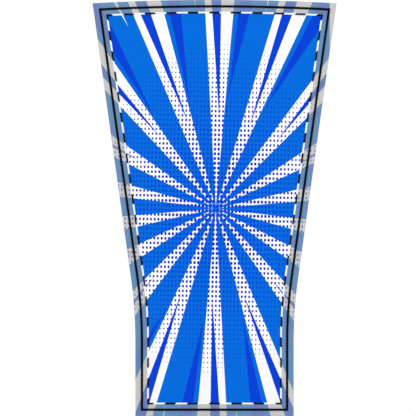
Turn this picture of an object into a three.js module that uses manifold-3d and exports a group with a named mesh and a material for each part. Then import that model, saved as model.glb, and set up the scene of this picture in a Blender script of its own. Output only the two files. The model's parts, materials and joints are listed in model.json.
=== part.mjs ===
// A child's superhero cape: a flat, lined panel that hangs from the shoulders, wide end up.
// Millimetres, +Z up, +X to the right of the printed face. The printed face looks along -Y and the
// plain lining, which meets the wearer's back, looks along +Y. The origin is the middle of the top edge.
//
// Cloth is limp, so the panel is cut into three flat zones that turn on two flex lines: the yoke, which
// the shoulders hold, the back below it, and the hem. Each layer is one outline, cut at the same lines.

import * as THREE from 'three';
import { mergeVertices } from 'three/addons/utils/BufferGeometryUtils.js';
import Module from 'manifold-3d';

const wasm = await Module();
wasm.setup();

// ---------------------------------------------------------------- driving dimensions
const PANEL_HEIGHT = 700;        // top edge to bottom edge, at the middle
const TOP_HALF_WIDTH = 205;      // middle to a top corner
const BOTTOM_HALF_WIDTH = 133;   // middle to the straight lower side
const SIDE_ANGLE = THREE.MathUtils.degToRad(7.95);  // how far the upper side leans from upright
const TOP_RADIUS = 3600;         // the top edge bows up a little
const SIDE_FILLET = 800;         // radius where the sloped side turns into the straight one

const CLOTH_THICKNESS = 0.5;     // one layer of cloth
const LAYER_GAP = 0.3;           // between two layers that lie on each other
const INTERFACING_THICKNESS = 0.8;
const BAND_THICKNESS = 0.5;      // sheer binding, folded over the edge
const BAND_WIDTH = 21.3;         // edge of the cape to the band's inner edge

const PIPING_INSET = 11;         // edge of the cape to the middle of the black piping
const PIPING_WIDTH = 3;
const PIPING_HEIGHT = 1.6;
const TAPE_WIDTH = 2.8;          // narrow white tape that covers the band's inner edge
const TAPE_THICKNESS = 0.6;
const STITCH_WIDTH = 2.2;        // black running stitch along the tape
const STITCH_HEIGHT = 1;

const YOKE_MARGIN = 17;          // end of the shoulder tabs to the flex line below the yoke
const BACK_LENGTH = 290;         // that flex line to the one above the hem
const FLEX_GAP = 8;              // bare length at a flex line, where lining and trims stop short
const FACE_GAP = 0.4;            // the face cloth carries the flex, so its zones almost meet

const TAB_WIDTH = 30;
const TAB_THICKNESS = 1.2;
const TAB_SIDE_CLEARANCE = 8;    // side band's inner edge to the shoulder tab
const TAB_TOP_CLEARANCE = 2;     // top band's inner corner to the top of the tab's sewn end
const TAB_SEWN_LENGTH = 12;
const TAB_FREE_LENGTH = 58;
const TAB_HINGE_DROP = 1;        // sewn end to the line that the tab turns on
const TAB_FLEX = 3;              // that line to the start of the flat tab
const PATCH_THICKNESS = 1.2;     // one half of the hook-and-loop fastener
const PATCH_LENGTH = 34;
const PATCH_SIDE_MARGIN = 2;     // tab's edge to the patch's edge
const PATCH_END_MARGIN = 4;      // tab's free end to the patch's end

const ARC_SEGMENTS = 10;
const REACH = 1000;              // longer than the whole cape, for cutting blocks

// ---------------------------------------------------------------- places that follow from them
const halfCore = INTERFACING_THICKNESS / 2 + LAYER_GAP;
const facePlanes = [-halfCore - CLOTH_THICKNESS, -halfCore];
const liningPlanes = [halfCore, halfCore + CLOTH_THICKNESS];
const interfacingPlanes = [-INTERFACING_THICKNESS / 2, INTERFACING_THICKNESS / 2];
const pocketDepth = liningPlanes[1] + LAYER_GAP;
const bandDepth = pocketDepth + BAND_THICKNESS;
const clothInset = BAND_THICKNESS + LAYER_GAP;

const trimBase = -bandDepth - LAYER_GAP;
const pipingPlanes = [trimBase - PIPING_HEIGHT, trimBase];
const tapePlanes = [trimBase - TAPE_THICKNESS, trimBase];
const stitchBase = tapePlanes[0] - LAYER_GAP;
const stitchPlanes = [stitchBase - STITCH_HEIGHT, stitchBase];

const fastenerBase = liningPlanes[1] + LAYER_GAP;
const sewnPlanes = [fastenerBase, fastenerBase + TAB_THICKNESS];
const loopPlanes = [fastenerBase, fastenerBase + PATCH_THICKNESS];
const hookPlanes = [loopPlanes[1] + LAYER_GAP, loopPlanes[1] + LAYER_GAP + PATCH_THICKNESS];
const tabPlanes = [hookPlanes[1] + LAYER_GAP, hookPlanes[1] + LAYER_GAP + TAB_THICKNESS];

const fullDepth = [-REACH, REACH];
const fullWidth = [-REACH, REACH];

// ---------------------------------------------------------------- materials
function finish(color, roughness, metalness = 0) {
  return new THREE.MeshStandardMaterial({ color, roughness, metalness });
}

const printedSatin = finish(0x086edc, 0.45);
const blueLining = finish(0x0a50c8, 0.55);
const nonWoven = finish(0xe8e8e4, 0.9);
const sheerBinding = finish(0x8fa6bf, 0.6);
const blackCord = finish(0x101010, 0.6);
const whiteTape = finish(0xf2f2ee, 0.8);
const blackThread = finish(0x080808, 0.5);
const webbing = finish(0x1450aa, 0.8);
const hookAndLoop = finish(0x1c1c20, 0.95);

// ---------------------------------------------------------------- solids: join and cut
function toSolid(geometry) {
  const bare = geometry.clone();
  bare.deleteAttribute('normal');
  bare.deleteAttribute('uv');
  const merged = mergeVertices(bare, 1e-4);
  return new wasm.Manifold(new wasm.Mesh({
    numProp: 3,
    vertProperties: new Float32Array(merged.attributes.position.array),
    triVerts: new Uint32Array(merged.index.array),
  }));
}

function toGeometry(solid) {
  const mesh = solid.getMesh();
  const geometry = new THREE.BufferGeometry();
  geometry.setAttribute('position', new THREE.BufferAttribute(mesh.vertProperties, 3));
  geometry.setIndex(new THREE.BufferAttribute(mesh.triVerts, 1));
  geometry.computeVertexNormals();
  return geometry;
}

// A flat shape drawn in X and Z, given a thickness between two depths in Y.
function plate(shape, [front, back]) {
  const geometry = new THREE.ExtrudeGeometry(shape, {
    depth: back - front,
    bevelEnabled: false,
    curveSegments: ARC_SEGMENTS,
  });
  geometry.rotateX(Math.PI / 2);
  geometry.translate(0, back, 0);
  return toSolid(geometry);
}

function block([left, right], [front, back], [top, bottom]) {
  const geometry = new THREE.BoxGeometry(right - left, back - front, top - bottom);
  geometry.translate((left + right) / 2, (front + back) / 2, (top + bottom) / 2);
  return toSolid(geometry);
}

// ---------------------------------------------------------------- the cape's outline
const cornerDrop = TOP_RADIUS - Math.sqrt(TOP_RADIUS ** 2 - TOP_HALF_WIDTH ** 2);

// The right-hand top corner of the outline that lies `inset` inside the cape's edge.
function topCorner(inset) {
  const along = new THREE.Vector2(-Math.sin(SIDE_ANGLE), -Math.cos(SIDE_ANGLE));
  const start = new THREE.Vector2(
    TOP_HALF_WIDTH - inset * Math.cos(SIDE_ANGLE),
    inset * Math.sin(SIDE_ANGLE) - cornerDrop,
  );
  const fromCentre = start.clone().add(new THREE.Vector2(0, TOP_RADIUS));
  const radius = TOP_RADIUS - inset;
  const toCentre = -fromCentre.dot(along);
  const travel = toCentre - Math.sqrt(toCentre ** 2 - fromCentre.lengthSq() + radius ** 2);
  return start.addScaledVector(along, travel);
}

// The whole outline, `inset` inside the cape's edge: bowed top, sloped sides, straight lower part.
function outline(inset) {
  const corner = topCorner(inset);
  const lowerX = BOTTOM_HALF_WIDTH - inset;
  const bottomZ = inset - PANEL_HEIGHT;
  const kinkZ = corner.y - (corner.x - lowerX) / Math.tan(SIDE_ANGLE);
  const filletRadius = SIDE_FILLET + inset;
  const filletX = lowerX + filletRadius;
  const filletZ = kinkZ - filletRadius * Math.tan(SIDE_ANGLE / 2);
  const topSpread = Math.asin(corner.x / (TOP_RADIUS - inset));

  const shape = new THREE.Shape();
  shape.moveTo(corner.x, corner.y);
  shape.absarc(filletX, filletZ, filletRadius, Math.PI - SIDE_ANGLE, Math.PI, false);
  shape.lineTo(lowerX, bottomZ);
  shape.lineTo(-lowerX, bottomZ);
  shape.absarc(-filletX, filletZ, filletRadius, 0, SIDE_ANGLE, false);
  shape.absarc(0, -TOP_RADIUS, TOP_RADIUS - inset, Math.PI / 2 + topSpread, Math.PI / 2 - topSpread, true);
  return shape;
}

// A closed frame that follows the cape's edge between two insets.
function frame(outerInset, innerInset, planes) {
  return plate(outline(outerInset), planes).subtract(plate(outline(innerInset), fullDepth));
}

function lineFrame(middleInset, width, planes) {
  return frame(middleInset - width / 2, middleInset + width / 2, planes);
}

// ---------------------------------------------------------------- levels below the top edge
const bandCorner = topCorner(BAND_WIDTH);
const tabTopZ = bandCorner.y - TAB_TOP_CLEARANCE;
const tabSewnEndZ = tabTopZ - TAB_SEWN_LENGTH;
const tabHingeZ = tabSewnEndZ - TAB_HINGE_DROP;
const tabEndZ = tabHingeZ - TAB_FLEX - TAB_FREE_LENGTH;
const bandEdgeX = bandCorner.x - (bandCorner.y - tabEndZ) * Math.tan(SIDE_ANGLE);
const tabMiddleX = bandEdgeX - TAB_SIDE_CLEARANCE - TAB_WIDTH / 2;
const swingZ = tabEndZ - YOKE_MARGIN;
const flutterZ = swingZ - BACK_LENGTH;

// The three flat zones, each from its upper to its lower flex line.
const zones = {
  yoke: [REACH, swingZ],
  back: [swingZ, flutterZ],
  hem: [flutterZ, -REACH],
};

// ---------------------------------------------------------------- cutting into zones and strips
const sides = { left: [-REACH, 0], right: [0, REACH] };

function zoneOf(solid, zone, gap = FLEX_GAP) {
  const [top, bottom] = zones[zone];
  return solid.intersect(block(fullWidth, fullDepth, [top - gap / 2, bottom + gap / 2]));
}

function sideOf(solid, side) {
  return solid.intersect(block(sides[side], fullDepth, [REACH, -REACH]));
}

// The wedge between the two mitres of the top or bottom strip. `spread` moves both mitres outwards.
function mitreWedge(outer, inner, spread) {
  const direction = outer.clone().sub(inner);
  const far = outer.clone().addScaledVector(direction, 1);
  const near = inner.clone().addScaledVector(direction, -0.2);
  const shape = new THREE.Shape([
    new THREE.Vector2(far.x + spread, far.y),
    new THREE.Vector2(near.x + spread, near.y),
    new THREE.Vector2(-near.x - spread, near.y),
    new THREE.Vector2(-far.x - spread, far.y),
  ]);
  return plate(shape, fullDepth);
}

// ---------------------------------------------------------------- the cape's pieces
const cape = new THREE.Group();
cape.name = 'superhero_cape';

function addPiece(name, solid, material) {
  const mesh = new THREE.Mesh(toGeometry(solid), material);
  mesh.name = name;
  cape.add(mesh);
}

function addCloth(layer, planes, gap, material) {
  const cloth = plate(outline(clothInset), planes);
  for (const zone of Object.keys(zones)) {
    addPiece(`${layer}_${zone}`, zoneOf(cloth, zone, gap), material);
  }
}

// Stiffener between the two cloths, which keeps the yoke flat between the shoulders.
function addInterfacing() {
  const sheet = plate(outline(BAND_WIDTH), interfacingPlanes);
  addPiece('yoke_interfacing', zoneOf(sheet, 'yoke'), nonWoven);
}

// Binding folded over the edge: a front leaf, a back leaf and the fold between them.
function addBinding() {
  const pocket = plate(outline(BAND_THICKNESS), [-pocketDepth, pocketDepth]);
  const ring = frame(0, BAND_WIDTH, [-bandDepth, bandDepth]).subtract(pocket);
  const mitreHalfGap = LAYER_GAP / Math.SQRT2;

  const topOuter = topCorner(0);
  const topInner = topCorner(BAND_WIDTH);
  const bottomOuter = new THREE.Vector2(BOTTOM_HALF_WIDTH, -PANEL_HEIGHT);
  const bottomInner = new THREE.Vector2(BOTTOM_HALF_WIDTH - BAND_WIDTH, BAND_WIDTH - PANEL_HEIGHT);

  addPiece('band_top', ring.intersect(mitreWedge(topOuter, topInner, -mitreHalfGap)), sheerBinding);
  addPiece('band_bottom', ring.intersect(mitreWedge(bottomOuter, bottomInner, -mitreHalfGap)), sheerBinding);

  const sideStrips = ring
    .subtract(mitreWedge(topOuter, topInner, mitreHalfGap))
    .subtract(mitreWedge(bottomOuter, bottomInner, mitreHalfGap));
  for (const side of Object.keys(sides)) {
    for (const zone of Object.keys(zones)) {
      addPiece(`band_${side}_${zone}`, zoneOf(sideOf(sideStrips, side), zone), sheerBinding);
    }
  }
}

// A narrow trim that runs all round: one piece across the yoke, one down each side, one round the hem.
function addTrim(name, ring, material) {
  addPiece(`${name}_yoke`, zoneOf(ring, 'yoke'), material);
  for (const side of Object.keys(sides)) {
    addPiece(`${name}_${side}_back`, zoneOf(sideOf(ring, side), 'back'), material);
  }
  addPiece(`${name}_hem`, zoneOf(ring, 'hem'), material);
}

// Shoulder tabs on the lining side: a sewn end, a free tab, and hook-and-loop between tab and lining.
function addShoulderTab(side, direction) {
  const middle = direction * tabMiddleX;
  const tabSpan = [middle - TAB_WIDTH / 2, middle + TAB_WIDTH / 2];
  const patchSpan = [tabSpan[0] + PATCH_SIDE_MARGIN, tabSpan[1] - PATCH_SIDE_MARGIN];
  const patchBottom = tabEndZ + PATCH_END_MARGIN;
  const patchLevels = [patchBottom + PATCH_LENGTH, patchBottom];

  addPiece(`tab_sewn_end_${side}`, block(tabSpan, sewnPlanes, [tabTopZ, tabSewnEndZ]), webbing);
  addPiece(`shoulder_tab_${side}`, block(tabSpan, tabPlanes, [tabHingeZ - TAB_FLEX, tabEndZ]), webbing);
  addPiece(`hook_patch_${side}`, block(patchSpan, hookPlanes, patchLevels), hookAndLoop);
  addPiece(`loop_patch_${side}`, block(patchSpan, loopPlanes, patchLevels), hookAndLoop);
}

addCloth('face', facePlanes, FACE_GAP, printedSatin);
addCloth('lining', liningPlanes, FLEX_GAP, blueLining);
addInterfacing();
addBinding();
addTrim('piping', lineFrame(PIPING_INSET, PIPING_WIDTH, pipingPlanes), blackCord);
addTrim('tape', lineFrame(BAND_WIDTH, TAPE_WIDTH, tapePlanes), whiteTape);
addTrim('stitch', lineFrame(BAND_WIDTH, STITCH_WIDTH, stitchPlanes), blackThread);
addShoulderTab('left', -1);
addShoulderTab('right', 1);

export default cape;
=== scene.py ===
# %% [markdown]
# # A child's superhero cape
# The cape is a flat, lined panel, wide end up. Its face is satin printed with a blue and white
# starburst, its edge is bound with a sheer grey strip, and a black cord, a white tape and a black
# running stitch follow that edge all round. Plain lining and two shoulder tabs are behind.
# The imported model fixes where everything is, so it is loaded first and its size is noted.

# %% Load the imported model
import json
import math
import random

import bmesh
import bpy
from mathutils import Matrix, Vector


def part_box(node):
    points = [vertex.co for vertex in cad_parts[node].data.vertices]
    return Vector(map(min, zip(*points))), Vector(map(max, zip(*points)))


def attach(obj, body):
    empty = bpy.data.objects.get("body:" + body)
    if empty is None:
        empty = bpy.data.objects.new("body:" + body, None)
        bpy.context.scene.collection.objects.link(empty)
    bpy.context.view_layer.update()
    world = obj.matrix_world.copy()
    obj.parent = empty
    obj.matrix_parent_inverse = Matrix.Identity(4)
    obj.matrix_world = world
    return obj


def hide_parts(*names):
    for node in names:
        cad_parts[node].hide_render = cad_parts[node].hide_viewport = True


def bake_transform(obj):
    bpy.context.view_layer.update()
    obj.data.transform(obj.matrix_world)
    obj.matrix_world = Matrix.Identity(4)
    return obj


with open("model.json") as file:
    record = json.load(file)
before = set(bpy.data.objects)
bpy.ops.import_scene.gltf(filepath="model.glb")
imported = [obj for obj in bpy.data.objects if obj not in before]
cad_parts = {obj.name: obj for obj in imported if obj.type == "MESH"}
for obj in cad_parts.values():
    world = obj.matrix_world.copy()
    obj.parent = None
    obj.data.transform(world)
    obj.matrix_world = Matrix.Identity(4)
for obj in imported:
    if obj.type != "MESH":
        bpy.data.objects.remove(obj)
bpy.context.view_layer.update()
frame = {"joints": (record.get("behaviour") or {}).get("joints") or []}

# %% [markdown]
# ## Sizes
# The frame gives the levels and depths of each layer. The outline's own dimensions are repeated here,
# in metres, because every strip and cloth is cut by the same outline as its solid.

# %% The outline's dimensions
MM = 0.001
PANEL_HEIGHT = -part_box("band_bottom")[0].z
TOP_HALF_WIDTH = 205 * MM        # middle to a top corner
BOTTOM_HALF_WIDTH = 133 * MM     # middle to the straight lower side
SIDE_LEAN = math.radians(7.95)   # how far the upper side leans from upright
TOP_RADIUS = 3600 * MM           # the top edge bows up a little
SIDE_FILLET = 800 * MM           # radius where the sloped side turns into the straight one
CORNER_DROP = TOP_RADIUS - math.sqrt(TOP_RADIUS**2 - TOP_HALF_WIDTH**2)

PIPING_INSET = 11 * MM           # edge of the cape to the middle of the black cord
BAND_WIDTH = 21.3 * MM           # edge of the cape to the binding's inner edge
CLOTH_INSET = 0.8 * MM           # the cloths stop just inside the binding's fold
print(f"cape {PANEL_HEIGHT:.3f} m high, {2 * TOP_HALF_WIDTH:.3f} m wide at the top")

# %% Depths of the layers, front to back, and the heights of the two flex lines
FACE_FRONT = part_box("face_yoke")[0].y
LINING_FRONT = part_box("lining_yoke")[0].y
LINING_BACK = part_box("lining_yoke")[1].y
CLOTH_THICKNESS = LINING_BACK - LINING_FRONT
BAND_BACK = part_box("band_top")[1].y
BAND_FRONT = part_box("band_top")[0].y
PIPING_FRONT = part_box("piping_yoke")[0].y
HINGES = {joint["name"]: Vector(joint["pos_m"]) for joint in frame["joints"]}
SWING_Z = HINGES["back_swing"].z
print(f"face at {FACE_FRONT / MM:.1f} mm, lining to {LINING_BACK / MM:.1f} mm")

# %% [markdown]
# ## The outline as a formula
# Each seam follows the cape's edge at its own inset. One function gives the half width at any level
# and inset, and one walks round the whole edge, so that all the strips meet in true mitres.

# %% Half width and corners at any inset
def top_corner(inset):
    """The right-hand top corner (x, z) of the outline that lies `inset` inside the edge."""
    along = Vector((-math.sin(SIDE_LEAN), -math.cos(SIDE_LEAN)))
    start = Vector((TOP_HALF_WIDTH + inset * along.y, -inset * along.x - CORNER_DROP))
    from_centre = start + Vector((0, TOP_RADIUS))
    to_centre = -from_centre.dot(along)
    reach = to_centre**2 - from_centre.length_squared + (TOP_RADIUS - inset) ** 2
    return start + along * (to_centre - math.sqrt(reach))


def top_level(x, inset):
    """Height of the bowed top edge."""
    return math.sqrt((TOP_RADIUS - inset) ** 2 - x * x) - TOP_RADIUS


def half_width(z, inset):
    """Middle to the side at height z: sloped, then a long fillet, then straight down."""
    corner = top_corner(inset)
    lower = BOTTOM_HALF_WIDTH - inset
    radius = SIDE_FILLET + inset
    kink_z = corner.y - (corner.x - lower) / math.tan(SIDE_LEAN)
    fillet_z = kink_z - radius * math.tan(SIDE_LEAN / 2)
    if z <= fillet_z:
        return lower
    if z < fillet_z + radius * math.sin(SIDE_LEAN):
        return lower + radius - math.sqrt(radius**2 - (z - fillet_z) ** 2)
    return corner.x - (corner.y - z) * math.tan(SIDE_LEAN)


# %% A walk round the edge
def edge_point(turn, inset):
    """A point (x, z) of the outline. `turn` goes 0 to 4 clockwise and is whole at each corner."""
    side, share = int(turn % 4), turn % 1
    corner = top_corner(inset)
    bottom_x = BOTTOM_HALF_WIDTH - inset
    bottom_z = inset - PANEL_HEIGHT
    if side == 0:
        x = corner.x * (2 * share - 1)
        return x, top_level(x, inset)
    if side == 2:
        return bottom_x * (1 - 2 * share), bottom_z
    down = share if side == 1 else 1 - share
    z = corner.y + (bottom_z - corner.y) * down
    x = half_width(z, inset)
    return (x, z) if side == 1 else (-x, z)


def gap_between(first, last, inset):
    """Straight distance between two turns at that inset."""
    return math.dist(edge_point(first, inset), edge_point(last, inset))


def route(start, end, cell, inset):
    """Turns from start to end, about `cell` apart, with one exactly on each corner passed."""
    stops = [start, *range(math.floor(start) + 1, math.ceil(end)), end]
    turns = [start]
    for first, last in zip(stops, stops[1:]):
        count = max(1, round(gap_between(first, last, inset) / cell))
        turns += [first + (last - first) * (i + 1) / count for i in range(count)]
    return turns


print("top corner at", [round(c / MM, 1) for c in top_corner(0)], "mm")

# %% [markdown]
# ## How the cloth hangs
# A cape held at the shoulders is flat at the yoke and falls in soft flutes towards the hem. One
# function gives how far the cloth stands forward or back at any place. Every layer adds the same
# amount, so the layers stay parallel and nothing cuts through its neighbour.

# %% The flutes
FLUTE_DEPTH = 5.0 * MM     # how far a flute stands out at the hem
FLUTES = (                 # share of the depth, waves from middle to side, start and drift (radians)
    (0.7, 1.15, 0.7, 0.8),
    (0.3, 2.30, 2.1, -0.6),
)


def eased(share):
    """A share from 0 to 1 that starts and ends slowly, and holds beyond its ends."""
    share = min(max(share, 0), 1)
    return share * share * (3 - 2 * share)


def hang(x, z):
    """How far the hanging cloth stands off flat at a place: none at the yoke, most at the hem."""
    fallen = (SWING_Z - z) / (PANEL_HEIGHT + SWING_Z)
    fallen = min(max(fallen, 0), 1)
    across = x / half_width(z, 0)
    waves = 0
    for share, count, start, drift in FLUTES:
        waves += share * math.sin(2 * math.pi * count * across + start + drift * fallen)
    return FLUTE_DEPTH * eased(fallen) * waves


print(f"hem corner stands {hang(BOTTOM_HALF_WIDTH, -PANEL_HEIGHT) / MM:.1f} mm off flat")

# %% [markdown]
# ## Two lengths
# The cape bends at two flex lines, and a piece can bend across only one. So each long piece is made
# in an upper and a lower length that meet halfway, where the cape stays flat and they never part.
# The meeting is in the gap after the seventh running stitch, so that no stitch is cut.

# %% Where the lengths meet, and the zones each length spans
STITCHES = (10, 19, 6, 19)       # running stitches on the top, right, bottom and left edge
WHOLE_STITCHES_ABOVE = 7
MEETING = (WHOLE_STITCHES_ABOVE + 0.5) / STITCHES[1]   # share of the side above the meeting
MEETING_Z = edge_point(1 + MEETING, BAND_WIDTH)[1]
LENGTHS = {"upper": (-MEETING, 1 + MEETING), "lower": (1 + MEETING, 4 - MEETING)}
ZONES = {"upper": ("yoke", "back"), "lower": ("back", "hem")}


def follow(piece):
    """Bakes the placement of a piece of the upper or the lower length into its mesh."""
    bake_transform(piece)


print(f"lengths meet at {MEETING_Z / MM:.0f} mm")

# %% [markdown]
# ## Finishes
# Colours are written as sRGB values and turned to linear light by one function.
# One function adds a node: it takes the node's settings and what feeds each of its inputs.

# %% Colour and node helpers
def linear(code):
    """An sRGB hex colour as linear RGBA."""
    parts = [int(code[i : i + 2], 16) / 255 for i in (1, 3, 5)]
    return (*[c / 12.92 if c <= 0.04045 else ((c + 0.055) / 1.055) ** 2.4 for c in parts], 1)


def add(tree, kind, inputs=(), **settings):
    """Adds a node. An input is a value, a socket, or a node, which feeds by its first output."""
    made = tree.nodes.new("ShaderNode" + kind)
    for setting, value in settings.items():
        setattr(made, setting, value)
    usable = [socket for socket in made.inputs if socket.enabled]
    pairs = inputs.items() if isinstance(inputs, dict) else enumerate(inputs)
    for key, value in pairs:
        socket = made.inputs[key] if isinstance(key, str) else usable[key]
        if isinstance(value, bpy.types.Node):
            value = next(out for out in value.outputs if out.enabled)
        if isinstance(value, bpy.types.NodeSocket):
            tree.links.new(value, socket)
        else:
            socket.default_value = value
    return made


def new_finish(name, **sockets):
    """A material with one Principled shader, whose plain sockets are set here."""
    material = bpy.data.materials.new(name)
    material.use_nodes = True
    shader = material.node_tree.nodes["Principled BSDF"]
    for socket, value in sockets.items():
        shader.inputs[socket.replace("_", " ")].default_value = value
    return material, material.node_tree, shader


def feed(tree, shader, colour, height=None, depth=0.1 * MM, strength=0.5):
    """Links a colour and a bump height to a shader. `depth` is the relief's real height."""
    mixed = next(out for out in colour.outputs if out.enabled)
    tree.links.new(mixed, shader.inputs["Base Color"])
    if height is not None:
        bump = add(tree, "Bump", {"Strength": strength, "Distance": depth, "Height": height})
        tree.links.new(bump.outputs["Normal"], shader.inputs["Normal"])


# %% Thread patterns, in real millimetres on the cloth
def cloth_place(tree, scale):
    """The cloth's own map, x across and z up, in units of `scale` metres."""
    place = add(tree, "UVMap", uv_map="cloth")
    return add(tree, "Mapping", {"Vector": place, "Scale": (1 / scale, 1 / scale, 1 / scale)})


def weave(tree, spacing):
    """Height of a plain weave: threads `spacing` metres apart, going over and under."""
    turns = add(tree, "VectorMath", [cloth_place(tree, 1), (math.pi / spacing, math.pi / spacing, 0)],
                operation="MULTIPLY")
    waves = add(tree, "SeparateXYZ", [add(tree, "VectorMath", [turns], operation="SINE")])
    over = add(tree, "Math", [waves.outputs["X"], waves.outputs["Y"]], operation="MULTIPLY")
    return add(tree, "Math", [over], operation="ABSOLUTE")


def slubs(tree, along, across):
    """Soft uneven streaks, as of slightly thicker threads, from 0 to 1."""
    place = add(tree, "UVMap", uv_map="cloth")
    scaled = add(tree, "Mapping", {"Vector": place, "Scale": (1 / across, 1 / along, 1)})
    return add(tree, "TexNoise", {"Vector": scaled, "Scale": 1.0, "Detail": 3.0, "Roughness": 0.6})


def shaded(tree, colour, pattern, low, high):
    """A colour multiplied by a pattern's brightness, which runs from low to high."""
    level = add(tree, "MapRange", {"Value": pattern, "To Min": low, "To Max": high})
    grey = add(tree, "CombineColor", [level, level, level])
    return add(tree, "Mix", [1.0, colour, grey], data_type="RGBA", blend_type="MULTIPLY")


# %% [markdown]
# ## The starburst print
# The print is eighteen white rays on blue, each like the next, so it is drawn for one ray and
# repeated by wrapping the angle. In one ray's own frame, q runs out along the ray and s across it.
# A dark spike opens inside each white ray, a second one in each blue wedge, and a thin white sliver
# shows near the corners. Over it all lies a screen of oval dots that shrink away from the middle.
# The printed area is a little narrower than the cloth, so the top right corner's edge stays bare.

# %% Sizes of the print
PRINT_CENTRE = (2.08 * MM, -350.7 * MM)
PRINT_TURN = math.radians(1.05)        # the whole print sits a little clockwise
RAYS = 18
RAY_HALF_ANGLE = math.radians(4.15)
RAY_TRIM = 0.3                         # mm by which each edge lies inside that angle
SPIKE_IN_RAY = ((151.6, 2.94), (-0.084, 0.0))      # tip (q, s) in mm, then its two edges' slopes
SPIKE_IN_WEDGE = ((186.9, 16.8), (0.109, 0.24))
SLIVER = ((336.0, -39.7), (-0.211, -0.113))
DOT_PITCH = (6.20, 7.98)               # mm across and down
DOT_RADIUS = 0.428                     # of a pitch, at the middle of the print
DOTS_END = 295.0                       # mm from the middle, where the dots have shrunk to nothing
BARE_FROM = 193.6 * MM                 # the printed area stops here, just short of the right corner


# %% The print as nodes
def spike(tree, s, q, tip, slopes):
    """1 inside a spike that opens outwards from its tip, 0 outside."""
    out = add(tree, "Math", [q, tip[0]], operation="SUBTRACT")
    aside = add(tree, "Math", [s, tip[1]], operation="SUBTRACT")
    low = add(tree, "Math", [out, slopes[0]], operation="MULTIPLY")
    high = add(tree, "Math", [out, slopes[1]], operation="MULTIPLY")
    past_low = add(tree, "Math", [aside, low], operation="GREATER_THAN")
    before_high = add(tree, "Math", [aside, high], operation="LESS_THAN")
    return add(tree, "Math", [past_low, before_high], operation="MULTIPLY")


def dots(tree, place):
    """1 inside a dot of the screen, 0 outside."""
    cell = add(tree, "VectorMath", [place, (*DOT_PITCH, 1)], operation="DIVIDE")
    inside = add(tree, "VectorMath", [cell], operation="FRACTION")
    centred = add(tree, "VectorMath", [inside, (0.5, 0.5, 0)], operation="SUBTRACT")
    from_dot = add(tree, "VectorMath", [centred], operation="LENGTH")
    oval = add(tree, "VectorMath", [place, (DOT_PITCH[1] / DOT_PITCH[0], 1, 0)], operation="MULTIPLY")
    out = add(tree, "VectorMath", [oval], operation="LENGTH")
    fade = add(tree, "MapRange", {"Value": out, "From Max": DOTS_END, "To Min": 1.0, "To Max": 0.0})
    size = add(tree, "Math", [add(tree, "Math", [fade], operation="SQRT"), DOT_RADIUS],
               operation="MULTIPLY")
    return add(tree, "Math", [from_dot, size], operation="LESS_THAN")


def starburst(tree, inks):
    """The print in five inks: white, blue, dark, dot on white and dot on blue."""
    white, blue, dark, dot_on_white, dot_on_blue = [linear(ink) for ink in inks]
    flat = add(tree, "UVMap", uv_map="cloth")
    place = add(tree, "Mapping", {
        "Vector": flat,
        "Location": (*PRINT_CENTRE, 0),
        "Rotation": (0, 0, -PRINT_TURN),
        "Scale": (MM, MM, 1),
    }, vector_type="TEXTURE")
    xz = add(tree, "SeparateXYZ", [place])
    angle = add(tree, "Math", [xz.outputs["X"], xz.outputs["Y"]], operation="ARCTAN2")
    half_turn = math.pi / RAYS
    wrapped = add(tree, "Math", [angle, half_turn, -half_turn], operation="WRAP")
    distance = add(tree, "VectorMath", [place], operation="LENGTH")
    s = add(tree, "Math", [distance, add(tree, "Math", [wrapped], operation="SINE")],
            operation="MULTIPLY")
    q = add(tree, "Math", [distance, add(tree, "Math", [wrapped], operation="COSINE")],
            operation="MULTIPLY")

    off_middle = add(tree, "Math", [s], operation="ABSOLUTE")
    ray_edge = add(tree, "Math", [q, math.tan(RAY_HALF_ANGLE), -RAY_TRIM], operation="MULTIPLY_ADD")
    in_ray = add(tree, "Math", [off_middle, ray_edge], operation="LESS_THAN")
    in_sliver = spike(tree, s, q, *SLIVER)
    bare = add(tree, "Math", [add(tree, "SeparateXYZ", [flat]), BARE_FROM], operation="GREATER_THAN")
    in_white = add(tree, "Math", [in_ray, in_sliver], operation="MAXIMUM")
    in_dark = add(tree, "Math", [spike(tree, s, q, *SPIKE_IN_RAY),
                                 spike(tree, s, q, *SPIKE_IN_WEDGE)], operation="MAXIMUM")

    ground = add(tree, "Mix", [in_white, blue, white], data_type="RGBA")
    ground = add(tree, "Mix", [in_dark, ground, dark], data_type="RGBA")
    dot_ink = add(tree, "Mix", [in_white, dot_on_blue, dot_on_white], data_type="RGBA")
    printed = add(tree, "Mix", [dots(tree, place), ground, dot_ink], data_type="RGBA")
    return add(tree, "Mix", [bare, printed, white], data_type="RGBA")


# %% [markdown]
# ### Printed satin
# Polyester satin, printed by heat transfer, so the dye is in the thread and the white is the bare
# cloth. To the eye it is even and smooth, with a soft low sheen and faint streaks along the threads.
# Satin threads are about 0.15 mm apart; the weave is drawn at 1.2 mm so that it shows at all.

# %% Printed satin
def printed_satin():
    material, tree, shader = new_finish(
        "printed_polyester_satin", Roughness=0.55, IOR=1.45, Specular_IOR_Level=0.04,
        Sheen_Weight=0.02, Sheen_Roughness=0.4)
    inks = ("#FAFAFA", "#006AD9", "#0340D4", "#0033C4", "#0446D5")
    streaks = slubs(tree, 40 * MM, 3 * MM)
    colour = shaded(tree, starburst(tree, inks), streaks, 0.985, 1.01)
    feed(tree, shader, colour, weave(tree, 1.2 * MM), 0.08 * MM, 0.7)
    return material


# %% [markdown]
# ### Sheer voile binding
# A see-through grey voile strip, folded over the edge. The print shows through it, washed out
# towards grey, so its front leaf carries the same print in veiled inks, and its back leaf the
# lining's blue under the same veil. Voile is an open plain weave; its threads are drawn at 1.6 mm.

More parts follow.
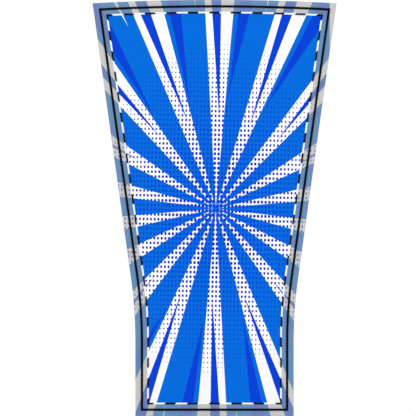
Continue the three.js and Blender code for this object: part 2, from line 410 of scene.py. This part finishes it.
# %% Voile over the print, and voile over the lining
def voile(name, colour_of):
    material, tree, shader = new_finish(
        name, Roughness=0.75, IOR=1.45, Specular_IOR_Level=0.12, Sheen_Weight=0.05)
    threads = weave(tree, 1.6 * MM)
    colour = shaded(tree, colour_of(tree), threads, 0.975, 1.02)
    feed(tree, shader, colour, threads, 0.08 * MM, 0.5)
    return material


def veiled_print(tree):
    return starburst(tree, ("#C5C5C4", "#678CB5", "#6980B5", "#697AB7", "#6582B6"))


def veiled_lining(tree):
    return shaded(tree, linear("#6C86B4"), slubs(tree, 30 * MM, 2 * MM), 0.95, 1.03)


# %% [markdown]
# ### Lining
# Blue polyester taffeta, dyed in the piece. It is plainer and a little glossier than the face, with
# streaks of slightly uneven thread. Its weave is drawn at 2 mm instead of 0.2 mm.

# %% Lining taffeta
def lining_taffeta():
    material, tree, shader = new_finish(
        "blue_polyester_taffeta", Roughness=0.42, IOR=1.5, Specular_IOR_Level=0.2,
        Sheen_Weight=0.04, Sheen_Roughness=0.35)
    threads = weave(tree, 2 * MM)
    streaks = shaded(tree, linear("#0B4FC4"), slubs(tree, 60 * MM, 1.5 * MM), 0.9, 1.06)
    feed(tree, shader, shaded(tree, streaks, threads, 0.96, 1.02), threads, 0.06 * MM, 0.5)
    return material


# %% [markdown]
# ### Interfacing, tape, cords and threads
# Interfacing is a fused mat of fibres with no weave. The tape is a narrow cotton twill, matt and
# white, with slanting ribs 0.7 mm apart. The cord and the running stitch are twisted black
# polyester: their own map runs round and along them, so the fibres are drawn as slanting lines.

# %% Interfacing and white tape
FIBRES_PER_METRE = 900.0               # a fibre every 1.1 mm


def fused_interfacing():
    material, tree, shader = new_finish("fused_nonwoven_interfacing", Roughness=0.95, IOR=1.45)
    place = cloth_place(tree, 1)
    fibres = add(tree, "TexNoise", {"Vector": place, "Scale": FIBRES_PER_METRE, "Detail": 4.0})
    feed(tree, shader, shaded(tree, linear("#E4E3DE"), fibres, 0.88, 1.05), fibres, 0.1 * MM)
    return material


def white_twill_tape():
    material, tree, shader = new_finish(
        "white_cotton_twill_tape", Roughness=0.85, IOR=1.45, Specular_IOR_Level=0.15)
    turns = add(tree, "VectorMath", [cloth_place(tree, 0.7 * MM), (1, 1, 0)], operation="DOT_PRODUCT")
    slant = add(tree, "Math", [turns, 2 * math.pi], operation="MULTIPLY")
    ribs = add(tree, "Math", [slant], operation="SINE")
    feed(tree, shader, shaded(tree, linear("#FBFBFA"), ribs, 0.985, 1.0), ribs, 0.06 * MM, 0.4)
    return material


# %% Twisted threads
FIBRE_LINES = 8                        # slanting lines round a yarn


def twisted_yarn(name, colour, twist, roughness, glint):
    """Yarn whose plies wind once round it in `twist` metres. Its map is (round, along)."""
    material, tree, shader = new_finish(
        name, Roughness=roughness, IOR=1.5, Specular_IOR_Level=glint)
    place = add(tree, "SeparateXYZ", [add(tree, "UVMap", uv_map="cloth")])
    along = add(tree, "Math", [place.outputs["Y"], 1 / twist], operation="MULTIPLY")
    phase = add(tree, "Math", [place.outputs["X"], along], operation="ADD")
    slant = add(tree, "Math", [phase, 2 * math.pi * FIBRE_LINES], operation="MULTIPLY")
    fibres = add(tree, "Math", [slant], operation="SINE")
    feed(tree, shader, shaded(tree, linear(colour), fibres, 0.6, 1.3), fibres, 0.08 * MM, 0.5)
    return material


# %% [markdown]
# ### Tab webbing and fastener
# The tabs are blue polypropylene webbing: dull, with ribs straight across it about 1.3 mm apart.
# The fastener's tapes are black nylon, knitted and almost without shine, drawn with a fine weave
# under the real hooks and loops.

# %% Webbing and fastener tapes
def ribbed_webbing():
    material, tree, shader = new_finish(
        "ribbed_polypropylene_webbing", Roughness=0.7, IOR=1.49, Specular_IOR_Level=0.25,
        Sheen_Weight=0.15)
    place = add(tree, "SeparateXYZ", [cloth_place(tree, 1.3 * MM)])
    ribs = add(tree, "Math", [add(tree, "Math", [place.outputs["Y"], math.pi], operation="MULTIPLY")],
               operation="SINE")
    ribs = add(tree, "Math", [ribs], operation="ABSOLUTE")
    colour = shaded(tree, linear("#1A53B0"), ribs, 0.72, 1.08)
    colour = shaded(tree, colour, slubs(tree, 2 * MM, 12 * MM), 0.9, 1.05)
    feed(tree, shader, colour, ribs, 0.25 * MM, 0.8)
    return material


def fastener_nylon(name, colour, roughness):
    material, tree, shader = new_finish(
        name, Roughness=roughness, IOR=1.53, Specular_IOR_Level=0.25, Sheen_Weight=0.2)
    knit = weave(tree, 0.9 * MM)
    feed(tree, shader, shaded(tree, linear(colour), knit, 0.7, 1.2), knit, 0.15 * MM)
    return material


# %% Make the finishes
PIPING_TWIST = 14 * MM                 # length of one full turn of the cord
STITCH_TWIST = 7 * MM
SEAM_TWIST = 2 * MM

SATIN = printed_satin()
VOILE_FRONT = voile("sheer_voile_over_print", veiled_print)
VOILE_BACK = voile("sheer_voile_over_lining", veiled_lining)
LINING = lining_taffeta()
INTERFACING = fused_interfacing()
TAPE = white_twill_tape()
PIPING = twisted_yarn("black_polyester_piping_cord", "#020202", PIPING_TWIST, 0.45, 0.05)
THREAD = twisted_yarn("black_buttonhole_thread", "#020202", STITCH_TWIST, 0.45, 0.05)
SEWING_THREAD = twisted_yarn("blue_sewing_thread", "#3A5FA8", SEAM_TWIST, 0.6, 0.3)
WEBBING = ribbed_webbing()
HOOK_TAPE = fastener_nylon("black_nylon_hook_tape", "#15161A", 0.5)
LOOP_TAPE = fastener_nylon("black_nylon_loop_tape", "#1C1D22", 0.95)
print("finishes:", len(bpy.data.materials))

# %% [markdown]
# ## Turning a bmesh into a piece
# Every piece ends the same way: its faces are smooth, its true corners are kept sharp, and it gets
# its finish. A cloth's map is simply where each point lies on the flat cape, x across and z up, so
# the print stays on the cloth when the cloth bends.

# %% From bmesh to piece
def map_flat(bm):
    """The cloth's map: each corner's own x and z."""
    layer = bm.loops.layers.uv.verify()
    for face in bm.faces:
        for loop in face.loops:
            loop[layer].uv = (loop.vert.co.x, loop.vert.co.z)


def make_piece(bm, name, *finishes, corner=40):
    """A finished object from a bmesh. Edges that turn more than `corner` degrees stay sharp."""
    bmesh.ops.recalc_face_normals(bm, faces=bm.faces)
    for face in bm.faces:
        face.smooth = True
    for edge in bm.edges:
        edge.smooth = edge.is_manifold and edge.calc_face_angle() < math.radians(corner)
    mesh = bpy.data.meshes.new(name)
    bm.to_mesh(mesh)
    bm.free()
    mesh.uv_layers[0].name = "cloth"
    piece = bpy.data.objects.new(name, mesh)
    bpy.context.scene.collection.objects.link(piece)
    for finish in finishes:
        mesh.materials.append(finish)
    print(f"{name}: {len(mesh.polygons)} faces")
    return piece


# %% [markdown]
# ## Camera, light and floor
# The cape is seen straight on, with no perspective, and fills the height of the view. Light comes
# from a white surround and two large soft lamps, so the print's colours stay even and the flutes
# still shade a little. The cape hangs just above a pale floor.

# %% Camera
VIEW_HEIGHT = 0.6993       # metres of the cape that the view takes in
VIEW_MIDDLE = (-10.96 * MM, -350.0 * MM)
CAMERA_DISTANCE = 2.0

camera = bpy.data.cameras.new("camera")
camera.type = "ORTHO"
camera.ortho_scale = VIEW_HEIGHT
eye = bpy.data.objects.new("camera", camera)
eye.location = (VIEW_MIDDLE[0], -CAMERA_DISTANCE, VIEW_MIDDLE[1])
eye.rotation_euler = (math.pi / 2, 0, 0)
bpy.context.scene.collection.objects.link(eye)
bpy.context.scene.camera = eye
print("view", VIEW_HEIGHT, "m high")

# %% Light
SURROUND = 0.57            # light from the white surround, as a share of its looks


def lamp(name, turn, strength, softness):
    """A distant lamp so wide that its shadows are soft. `turn` is its rotation in degrees."""
    light = bpy.data.lights.new(name, "SUN")
    light.energy = strength
    light.angle = math.radians(softness)
    stand = bpy.data.objects.new(name, light)
    stand.rotation_euler = [math.radians(degrees) for degrees in turn]
    bpy.context.scene.collection.objects.link(stand)


lamp("key", (58, 0, -16), 1.16, 40)
lamp("fill", (72, 0, 24), 0.37, 60)
lamp("back", (60, 0, 160), 1.2, 50)

world = bpy.data.worlds.new("surround")
bpy.context.scene.world = world
world.use_nodes = True
sky = world.node_tree
sky.nodes.clear()
seen = add(sky, "LightPath")
lit = add(sky, "Background", {"Color": (1, 1, 1, 1), "Strength": SURROUND})
shown = add(sky, "Background", {"Color": (1, 1, 1, 1), "Strength": 1.0})
both = add(sky, "MixShader", [seen.outputs["Is Camera Ray"], lit, shown])
add(sky, "OutputWorld", {"Surface": both})
bpy.context.scene.view_settings.view_transform = "Standard"
print("lamps:", len(bpy.data.lights))

# %% Floor
FLOOR_GAP = 20 * MM        # the hem hangs this far above the floor
FLOOR_HALF = 30.0          # metres from its middle to its edge

bm = bmesh.new()
bmesh.ops.create_grid(bm, x_segments=1, y_segments=1, size=FLOOR_HALF)
bmesh.ops.translate(bm, verts=bm.verts, vec=(0, 0, -PANEL_HEIGHT - FLOOR_GAP))
bm.loops.layers.uv.verify()
material, tree, shader = new_finish("pale_studio_floor", Roughness=0.9, Specular_IOR_Level=0.1)
grain = add(tree, "TexNoise", {"Vector": add(tree, "TexCoord").outputs["Object"], "Scale": 3.0})
feed(tree, shader, shaded(tree, linear("#ECECEA"), grain, 0.99, 1.01))
floor = make_piece(bm, "studio_floor", material)

# %% [markdown]
# ## Face, lining and interfacing
# Each cloth is one flat cut that follows the cape's outline just inside the fold of the binding. It
# starts as a grid, its points are moved to the outline and the flutes, and it is extruded to the
# thickness of cloth. A simulation would only blur the print's straight rays, and the flutes of a
# cape this small are gentle enough for a formula.

# %% A cut of cloth
CLOTH_CELL = 6 * MM
SETTLING_PASSES = 4        # a point's level depends on its x and x on its level, so both are settled


def thicken(bm, thickness):
    """Gives a sheet its thickness, from the face towards the wearer."""
    thicker = bmesh.ops.extrude_face_region(bm, geom=bm.faces)["geom"]
    back = [part for part in thicker if isinstance(part, bmesh.types.BMVert)]
    bmesh.ops.translate(bm, verts=back, vec=(0, thickness, 0))
    map_flat(bm)


def cut_panel(inset, front, thickness, upper, lower):
    """Cloth between two levels. With no upper level it goes up to the bowed top edge."""
    bm = bmesh.new()
    rows = round((-lower if upper is None else upper - lower) / CLOTH_CELL)
    columns = round(2 * TOP_HALF_WIDTH / CLOTH_CELL)
    bmesh.ops.create_grid(bm, x_segments=columns, y_segments=rows, size=0.5)
    for vert in bm.verts:
        across, down = 2 * vert.co.x, 0.5 - vert.co.y
        x = 0
        for _ in range(SETTLING_PASSES):
            top = top_level(x, inset) if upper is None else upper
            z = top + (lower - top) * down
            x = across * half_width(z, inset)
        vert.co = (x, front + hang(x, z), z)
    thicken(bm, thickness)
    return bm


# %% Face and lining
PANELS = {"upper": (None, MEETING_Z), "lower": (MEETING_Z, CLOTH_INSET - PANEL_HEIGHT)}
CLOTHS = (
    ("face", FACE_FRONT, SATIN, "printed_satin"),
    ("lining", LINING_FRONT, LINING, "blue_lining"),
)
for layer, front, finish, slot in CLOTHS:
    for length, levels in PANELS.items():
        bm = cut_panel(CLOTH_INSET, front, CLOTH_THICKNESS, *levels)
        piece = make_piece(bm, f"{layer}_{length}", finish)
        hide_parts(*[f"{layer}_{zone}" for zone in ZONES[length]])
        follow(piece)

# %% Interfacing
interfacing_low, interfacing_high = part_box("yoke_interfacing")
bm = cut_panel(BAND_WIDTH, interfacing_low.y, interfacing_high.y - interfacing_low.y,
               None, interfacing_low.z)
interfacing = make_piece(bm, "yoke_interfacing_sheet", INTERFACING)
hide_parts("yoke_interfacing")
follow(interfacing)

# %% [markdown]
# ## Strips along the edge
# Binding, tape, cord and stitches all follow the edge, so one function makes them: a grid as long as
# the strip and as wide as its cross-section, whose points are moved to the edge. The inset of a point
# decides its corner, and that gives every strip a true mitre with no cutting.

# %% A strip that follows the edge
def lay_strip(bm, turns, across, place, inset):
    """Adds a grid along the edge. place(along, across) gives a point's (inset, depth)."""
    layer = bm.loops.layers.uv.verify()
    count = len(turns) - 1
    verts = bmesh.ops.create_grid(bm, x_segments=count, y_segments=across, size=0.5)["verts"]
    run = [0.0]
    for first, last in zip(turns, turns[1:]):
        run.append(run[-1] + gap_between(first, last, inset))
    for face in {face for vert in verts for face in vert.link_faces}:
        for loop in face.loops:
            i = round((loop.vert.co.x + 0.5) * count)
            loop[layer].uv = (loop.vert.co.y + 0.5, run[i])
    for vert in verts:
        i = round((vert.co.x + 0.5) * count)
        point_inset, depth = place(run[i], vert.co.y + 0.5)
        x, z = edge_point(turns[i], point_inset)
        vert.co = (x, depth + hang(x, z), z)
    return run[-1]


def close_tubes(bm):
    """Welds the long seam of each tube and closes its ends."""
    bmesh.ops.remove_doubles(bm, verts=bm.verts, dist=0.001 * MM)
    bmesh.ops.holes_fill(bm, edges=[edge for edge in bm.edges if edge.is_boundary], sides=0)


# %% [markdown]
# ### Binding
# One strip for each edge, folded round the cape's edge: a front leaf, a soft fold, a back leaf. The
# two leaves have different finishes, because the print shows through one and the lining through the
# other. The side strips come in the two lengths.

# %% Binding
BAND_THICKNESS = 0.5 * MM
BAND_CELL = 6 * MM
FOLD_POINTS = 8
LEAF_POINTS = 4


def band_section():
    """(inset, depth) across the strip: front leaf from its inner edge, fold, back leaf."""
    radius = BAND_BACK
    leaf = [BAND_WIDTH + (radius - BAND_WIDTH) * i / LEAF_POINTS for i in range(LEAF_POINTS)]
    fold = [math.pi * i / FOLD_POINTS - math.pi / 2 for i in range(FOLD_POINTS + 1)]
    front = [(inset, -radius) for inset in leaf]
    bend = [(radius - radius * math.cos(angle), radius * math.sin(angle)) for angle in fold]
    back = [(inset, radius) for inset in reversed(leaf)]
    return front + bend + back


def bind_edge(name, start, end):
    """A folded strip from one turn to another."""
    section = band_section()
    bm = bmesh.new()
    steps = len(section) - 1
    length = lay_strip(bm, route(start, end, BAND_CELL, 0), steps,
                       lambda along, across: section[round(across * steps)], 0)
    bmesh.ops.recalc_face_normals(bm, faces=bm.faces)
    outwards = sum(face.normal.y * face.calc_center_median().y for face in bm.faces)
    if outwards < 0:
        bmesh.ops.reverse_faces(bm, faces=bm.faces)
    bmesh.ops.solidify(bm, geom=bm.faces, thickness=BAND_THICKNESS)
    map_flat(bm)
    for face in bm.faces:
        middle = face.calc_center_median()
        face.material_index = int(middle.y > hang(middle.x, middle.z))
    piece = make_piece(bm, name, VOILE_FRONT, VOILE_BACK)
    return piece, length


bands = {
    "binding_top": (bind_edge("binding_top", 0, 1), None, ["band_top"]),
    "binding_bottom": (bind_edge("binding_bottom", 2, 3), None, ["band_bottom"]),
}
for side, spans in {
    "right": {"upper": (1, 1 + MEETING), "lower": (1 + MEETING, 2)},
    "left": {"upper": (4 - MEETING, 4), "lower": (3, 4 - MEETING)},
}.items():
    for length, span in spans.items():
        name = f"binding_{side}_{length}"
        nodes = [f"band_{side}_{zone}" for zone in ZONES[length]]
        bands[name] = (bind_edge(name, *span), length, nodes)

for name, ((piece, run), length, nodes) in bands.items():
    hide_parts(*nodes)
    if length:
        follow(piece)
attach(bands["binding_top"][0][0], "yoke")
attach(bands["binding_bottom"][0][0], "hem")

# %% [markdown]
# ### White tape
# Narrow twill tape covers the raw inner edge of the binding. Its outer half lies on the binding and
# its inner half drops to the face, so its section is a shallow step, extruded to a tape's thickness.

# %% White tape
TAPE_THICKNESS = 0.55 * MM
TAPE_CELL = 4 * MM
TAPE_SECTION = [            # (inset, depth) in mm of the tape's upper side
    (19.9, -2.56), (20.2, -2.68), (20.8, -2.72), (21.4, -2.68), (22.0, -2.36), (22.5, -1.92),
    (22.7, -1.80),
]


def tape_point(_, across):
    inset, depth = TAPE_SECTION[round(across * (len(TAPE_SECTION) - 1))]
    return inset * MM, depth * MM


trims = {"upper": [], "lower": []}
TRIM_ZONES = {
    "upper": ["yoke", "left_back", "right_back"],
    "lower": ["left_back", "right_back", "hem"],
}


def add_trim(bm, name, length, finish, solid=None, corner=40):
    """One length of a trim, baked into place. It stands for the solids of that name."""
    piece = make_piece(bm, f"{name}_{length}", finish, corner=corner)
    if solid:
        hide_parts(*[f"{solid}_{zone}" for zone in TRIM_ZONES[length]])
    follow(piece)
    trims[length].append(piece)


for length, (start, end) in LENGTHS.items():
    bm = bmesh.new()
    lay_strip(bm, route(start, end, TAPE_CELL, BAND_WIDTH), len(TAPE_SECTION) - 1, tape_point,
              BAND_WIDTH)
    thicken(bm, TAPE_THICKNESS)
    add_trim(bm, "twill_tape", length, TAPE, "tape")

# %% [markdown]
# ### Black piping
# A thin twisted cord, sewn down along the middle of the binding. Its round section is a closed grid
# whose three plies wind round as it goes. At a corner it folds to a sharp point, as piping does when
# it is sewn down tight.

# %% Black piping
PIPING_CELL = 1.2 * MM
PIPING_ROUND = 12
PIPING_HALF_WIDTH = 1.85 * MM
PIPING_HALF_HEIGHT = (BAND_FRONT - PIPING_FRONT) / 2
PIPING_MIDDLE = (BAND_FRONT + PIPING_FRONT) / 2
PLIES = 3
PLY_RELIEF = 0.05          # how far the plies stand out, as a share of the radius


def piping_point(run, across):
    angle = 2 * math.pi * across
    ply = 1 + PLY_RELIEF * math.cos(PLIES * (angle + 2 * math.pi * run / PIPING_TWIST))
    inset = PIPING_INSET + PIPING_HALF_WIDTH * ply * math.cos(angle)
    return inset, PIPING_MIDDLE + PIPING_HALF_HEIGHT * ply * math.sin(angle)


for length, (start, end) in LENGTHS.items():
    bm = bmesh.new()
    run = lay_strip(bm, route(start, end, PIPING_CELL, PIPING_INSET), PIPING_ROUND,
                    piping_point, PIPING_INSET)
    close_tubes(bm)
    add_trim(bm, "piping_cord", length, PIPING, "piping", corner=60)
    print(f"  {run / MM:.0f} mm of cord")

# %% [markdown]
# ### Running stitch
# Heavy black thread goes over the tape, down through all the layers, along the back and up again.
# So the front shows even dashes with equal gaps, and the back shows the same thread in the gaps.
# Each dash is its own short piece of thread that dives at both ends. Four of them turn a corner.

# %% Running stitch
STITCH_CELL = 1.0 * MM
STITCH_ROUND = 10
STITCH_HALF_WIDTH = 1.4 * MM
STITCH_HALF_HEIGHT = 0.6 * MM
STITCH_DIVE = 0.9 * MM           # length over which an end goes down into the cloth
STITCH_TAPER = 0.35              # how much thinner its tip is
HALF_STITCH = 0.25               # of the pitch, which is a stitch and an equal gap
FRONT_STITCH_DEPTH = -3.15 * MM
BACK_STITCH_DEPTH = 2.35 * MM
BACK_STITCH_INSET = 19.7 * MM    # on the back it lies just on the binding


def stitch_spans(shift):
    """(start, end) turns of every stitch, moved along by `shift` of a stitch and its gap."""
    for edge, count in enumerate(STITCHES):
        for i in range(count):
            before = STITCHES[edge - 1] if i + shift < HALF_STITCH else count
            middle = edge + (i + shift) / count
            yield middle - HALF_STITCH / before, middle + HALF_STITCH / count


def lay_stitch(bm, start, end, inset, depth):
    """One stitch. It sinks towards the cloth at both ends."""
    turns = route(start, end, STITCH_CELL, inset)
    total = sum(gap_between(a, b, inset) for a, b in zip(turns, turns[1:]))

    def thread_point(run, across):
        angle = 2 * math.pi * across
        from_end = min(run, total - run) / STITCH_DIVE
        sunk = (1 - min(from_end, 1)) ** 2
        size = 1 - STITCH_TAPER * sunk
        ply = 1 + PLY_RELIEF * math.cos(PLIES * (angle + 2 * math.pi * run / STITCH_TWIST))
        middle = depth - math.copysign(2 * STITCH_HALF_HEIGHT * sunk, depth)
        return (inset + STITCH_HALF_WIDTH * size * ply * math.cos(angle),
                middle + STITCH_HALF_HEIGHT * size * ply * math.sin(angle))

    lay_strip(bm, turns, STITCH_ROUND, thread_point, inset)


for length, (low, high) in LENGTHS.items():
    bm = bmesh.new()
    count = 0
    for shift, inset, depth in ((0, BAND_WIDTH, FRONT_STITCH_DEPTH),
                                (0.5, BACK_STITCH_INSET, BACK_STITCH_DEPTH)):
        for start, end in stitch_spans(shift):
            middle = (start + end) / 2
            if low <= middle < high or low <= middle - 4 < high:
                lay_stitch(bm, start, end, inset, depth)
                count += 1
    close_tubes(bm)
    add_trim(bm, "running_stitch", length, THREAD, "stitch", corner=60)
    print(f"  {count} stitches")

# %% [markdown]
# ### Machine stitches
# The piping is sewn down by machine, and on the back that seam shows as a row of small blue
# stitches in the middle of the binding. A second row runs near the binding's inner edge. Each stitch
# is a tiny stretched ball, so hundreds of them stay light.

# %% Rows of machine stitches on the back
MACHINE_PITCH = 3.4 * MM
MACHINE_LENGTH = 2.6 * MM
MACHINE_HALF_WIDTH = 0.32 * MM
INNER_SEAM_INSET = 17.2 * MM
SEAM_LIFT = 0.1 * MM             # a stitch's middle stands this far off the binding


def machine_stitch(bm, start, end, y):
    """One small stitch from start to end, both (x, z), lying on a surface at y."""
    middle = Vector(((start[0] + end[0]) / 2, y, (start[1] + end[1]) / 2))
    angle = math.atan2(end[1] - start[1], end[0] - start[0])
    size = Matrix.Diagonal((math.dist(start, end) / 2, MACHINE_HALF_WIDTH, MACHINE_HALF_WIDTH, 1))
    matrix = Matrix.Translation(middle) @ Matrix.Rotation(-angle, 4, "Y") @ size
    bmesh.ops.create_icosphere(bm, subdivisions=1, radius=1, matrix=matrix)


def seam_row(bm, start, end, inset):
    """A row of machine stitches along the edge, on the back leaf."""
    turns = route(start, end, MACHINE_PITCH, inset)
    for first, last in zip(turns, turns[1:]):
        last = first + (last - first) * MACHINE_LENGTH / MACHINE_PITCH
        a, b = edge_point(first, inset), edge_point(last, inset)
        machine_stitch(bm, a, b, BAND_BACK + SEAM_LIFT + hang(*a))


for length, span in LENGTHS.items():
    bm = bmesh.new()
    for inset in (PIPING_INSET, INNER_SEAM_INSET):
        seam_row(bm, *span, inset)
    map_flat(bm)
    add_trim(bm, "binding_seam", length, SEWING_THREAD, corner=80)

# %% [markdown]
# ## Shoulder tabs
# Each tab is one strap of webbing, sewn to the lining at its top. Below the seam it steps out over
# the fastener and hangs flat. Opened, it turns up and away at the step, so that part has close rows.

# %% The strap
WEBBING_THICKNESS = 1.2 * MM
WEBBING_COLUMNS = 10
TURN_START = 1.0 * MM          # above the hinge line, where the strap leaves the lining
TURN_END = 3.4 * MM            # below it, where the free tab is flat again
WEBBING_EDGE = 0.3 * MM        # how far its edges are rounded
SEWN_ROWS = 6
TURN_ROWS = 16
FREE_ROWS = 20


def strap_rows(top, hinge, bottom):
    """Heights of the strap's rows: few where it is flat and many where it turns."""
    first, last = hinge + TURN_START, hinge - TURN_END
    sewn = [top + (first - top) * i / SEWN_ROWS for i in range(SEWN_ROWS)]
    turning = [first + (last - first) * i / TURN_ROWS for i in range(TURN_ROWS)]
    free = [last + (bottom - last) * i / FREE_ROWS for i in range(FREE_ROWS + 1)]
    return sewn + turning + free


def make_strap(side):
    """Webbing from the sewn end to the free end of one tab."""
    sewn_low, sewn_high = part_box(f"tab_sewn_end_{side}")
    tab_low, tab_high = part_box(f"shoulder_tab_{side}")
    hinge = HINGES[f"tab_{side}_open"]
    rows = strap_rows(sewn_high.z, hinge.z, tab_low.z)
    bm = bmesh.new()
    bmesh.ops.create_grid(bm, x_segments=WEBBING_COLUMNS, y_segments=len(rows) - 1, size=0.5)
    for vert in bm.verts:
        z = rows[round((0.5 - vert.co.y) * (len(rows) - 1))]
        share = eased((hinge.z + TURN_START - z) / (TURN_START + TURN_END))
        x = sewn_low.x + (sewn_high.x - sewn_low.x) * (vert.co.x + 0.5)
        vert.co = (x, sewn_high.y + (tab_high.y - sewn_high.y) * share, z)
    bmesh.ops.recalc_face_normals(bm, faces=bm.faces)
    if sum(face.normal.y for face in bm.faces) < 0:
        bmesh.ops.reverse_faces(bm, faces=bm.faces)
    bmesh.ops.solidify(bm, geom=bm.faces, thickness=WEBBING_THICKNESS)
    rim = [edge for edge in bm.edges if edge.calc_face_angle(0) > math.radians(60)]
    bmesh.ops.bevel(bm, geom=rim, offset=WEBBING_EDGE, affect="EDGES", segments=2, profile=0.5,
                    material=-1)
    map_flat(bm)
    return make_piece(bm, f"tab_strap_{side}", WEBBING)


# %% Box stitches on the tabs
BOX_MARGIN = 2.5 * MM            # edge of the webbing to the box of stitches
PATCH_MARGIN = 1.5 * MM          # edge of the hook patch to its stitches
BOX_LIFT = 0.05 * MM             # a stitch's middle stands this far off the webbing
STITCH_SHARE = (0.12, 0.88)      # where a stitch starts and ends in its pitch


def stitch_path(bm, corners, y):
    """Machine stitches along a path of straight lines."""
    for start, end in zip(corners, corners[1:]):
        count = max(1, round(math.dist(start, end) / MACHINE_PITCH))
        step = [(end[k] - start[k]) / count for k in (0, 1)]
        for i in range(count):
            ends = [[start[k] + step[k] * (i + share) for k in (0, 1)] for share in STITCH_SHARE]
            machine_stitch(bm, *ends, y)


def box_stitch(name, low, high, margin, surface, crossed):
    """Stitches just inside a rectangle, with a cross in it where the seam is a strong one."""
    left, right = low.x + margin, high.x - margin
    bottom, top = low.z + margin, high.z - margin
    y = surface + BOX_LIFT
    bm = bmesh.new()
    stitch_path(bm, [(left, bottom), (right, bottom), (right, top), (left, top), (left, bottom)], y)
    if crossed:
        stitch_path(bm, [(left, bottom), (right, top)], y)
        stitch_path(bm, [(left, top), (right, bottom)], y)
    map_flat(bm)
    piece = make_piece(bm, name, SEWING_THREAD, corner=80)
    return piece


# %% [markdown]
# ### Hook and loop
# The tab carries the hook half and the lining the loop half. Each half is a small woven tape with
# hundreds of tiny nylon arches on it: open hooks on one, fuller loops on the other, all shapes of the
# same kind. One arch is spun from a small ring, and the rest are copies of it.

# %% Hook and loop patches
PATCH_BASE = 0.5 * MM
PATCH_CORNER = 2 * MM
PATCH_RIM = 1 * MM               # bare rim round the arches
HOOKS = {                        # spacing, size and wire of the arches, and how far each curls over
    "pitch": 1.5 * MM, "radius": 0.34 * MM, "wire": 0.12 * MM, "sweep": 215,
    "jitter": 0, "turn": (-0.3, 0.3),
}
LOOPS = {
    "pitch": 1.3 * MM, "radius": 0.55 * MM, "wire": 0.13 * MM, "sweep": 180,
    "jitter": 0.35 * MM, "turn": (0, math.pi),
}
rng = random.Random(7)


def arch(bm, radius, wire, sweep):
    """A small arch that stands on the plane y = 0 and curls over along +Y."""
    place = Matrix.Translation((radius, 0, 0)) @ Matrix.Rotation(math.pi / 2, 4, "X")
    ring = bmesh.ops.create_circle(bm, segments=4, radius=wire, matrix=place)
    edges = list({edge for vert in ring["verts"] for edge in vert.link_edges})
    bmesh.ops.spin(bm, geom=ring["verts"] + edges, cent=(0, 0, 0), axis=(0, 0, 1),
                   angle=math.radians(sweep), steps=5, dvec=(0, 0, 0))


def pile_patch(name, low, high, outwards, finish, pitch, radius, wire, sweep, jitter, turn):
    """A fastener patch: a base with rounded corners, and rows of arches on its outer side."""
    bm = bmesh.new()
    base_y = low.y if outwards > 0 else high.y - PATCH_BASE
    size = (high.x - low.x, PATCH_BASE, high.z - low.z)
    middle = ((low.x + high.x) / 2, base_y + PATCH_BASE / 2, (low.z + high.z) / 2)
    bmesh.ops.create_cube(bm, size=1, matrix=Matrix.Translation(middle) @ Matrix.Diagonal((*size, 1)))
    upright = [e for e in bm.edges if abs(e.verts[0].co.y - e.verts[1].co.y) > PATCH_BASE / 2]
    bmesh.ops.bevel(bm, geom=upright, offset=PATCH_CORNER, affect="EDGES", segments=4, profile=0.5,
                    material=-1)
    pattern = bmesh.new()
    arch(pattern, radius, wire, sweep)
    tuft = bpy.data.meshes.new("tuft")
    pattern.to_mesh(tuft)
    pattern.free()
    surface = base_y + PATCH_BASE if outwards > 0 else base_y
    across = int((size[0] - 2 * PATCH_RIM) / pitch)
    down = int((size[2] - 2 * PATCH_RIM) / pitch)
    for i in range(across + 1):
        for j in range(down + 1):
            spot = Vector((
                middle[0] + (i - across / 2) * pitch + rng.uniform(-jitter, jitter),
                surface,
                middle[2] + (j - down / 2) * pitch + rng.uniform(-jitter, jitter),
            ))
            turned = Matrix.Rotation(rng.uniform(*turn), 4, "Y")
            flipped = Matrix.Diagonal((1, outwards, 1, 1))
            matrix = Matrix.Translation(spot) @ turned @ flipped
            tuft.transform(matrix)
            bm.from_mesh(tuft)
            tuft.transform(matrix.inverted())
    bpy.data.meshes.remove(tuft)
    bmesh.ops.holes_fill(bm, edges=[edge for edge in bm.edges if edge.is_boundary], sides=0)
    map_flat(bm)
    return make_piece(bm, name, finish, corner=70)


# %% Put the tabs together
for side in ("left", "right"):
    strap = make_strap(side)
    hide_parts(f"tab_sewn_end_{side}", f"shoulder_tab_{side}")
    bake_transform(strap)

    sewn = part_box(f"tab_sewn_end_{side}")
    box = box_stitch(f"tab_box_stitch_{side}", *sewn, BOX_MARGIN, sewn[1].y, True)
    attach(box, "yoke")

    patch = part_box(f"hook_patch_{side}")
    tab_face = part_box(f"shoulder_tab_{side}")[1].y
    outline = box_stitch(f"tab_patch_stitch_{side}", *patch, PATCH_MARGIN, tab_face, False)
    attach(outline, f"tab_{side}")

    hooks = pile_patch(f"hook_patch_{side}_pile", *patch, -1, HOOK_TAPE, **HOOKS)
    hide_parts(f"hook_patch_{side}")
    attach(hooks, f"tab_{side}")

    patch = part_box(f"loop_patch_{side}")
    loops = pile_patch(f"loop_patch_{side}_pile", *patch, 1, LOOP_TAPE, **LOOPS)
    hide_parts(f"loop_patch_{side}")
    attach(loops, "yoke")
